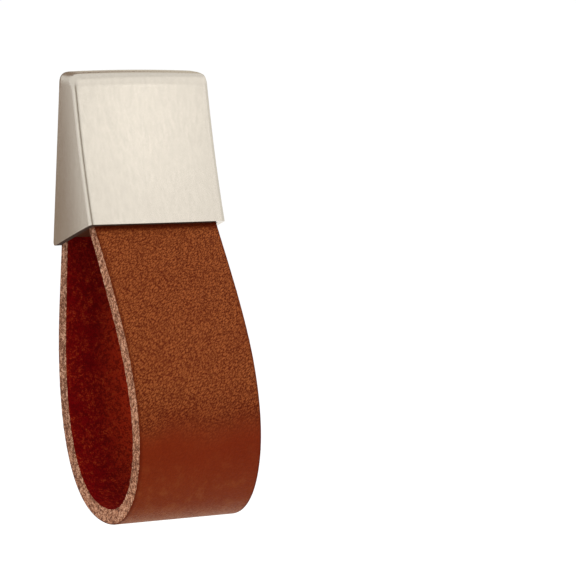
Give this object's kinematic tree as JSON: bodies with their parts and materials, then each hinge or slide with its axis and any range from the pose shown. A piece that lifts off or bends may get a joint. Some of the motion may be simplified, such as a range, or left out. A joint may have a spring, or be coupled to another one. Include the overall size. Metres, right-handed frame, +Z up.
{
  "type": "leather knob",
  "caption": "Cabinet or drawer knob: a bent leather strap loop held in a wedge-shaped brushed metal cap that screws to the front from behind.",
  "frame": {"origin": "on the axis of the fixing screw, in the plane of the door or drawer front that the knob sits against", "axes": "+Y into the door along the screw, +Z up along the door, +X to the right seen from the front"},
  "size_m": [0.026, 0.0289, 0.073],
  "materials": {
    "brushed_nickel": "satin brushed champagne nickel plating",
    "leather": "russet brown fine-grained leather with raw tan cut edges and a dark red-brown suede back",
    "cast_zinc": "plain as-cast grey metal"
  },
  "bodies": {
    "root": {"cap": "brushed_nickel", "strap": "leather", "spacer": "cast_zinc"}
  },
  "joints": []
}
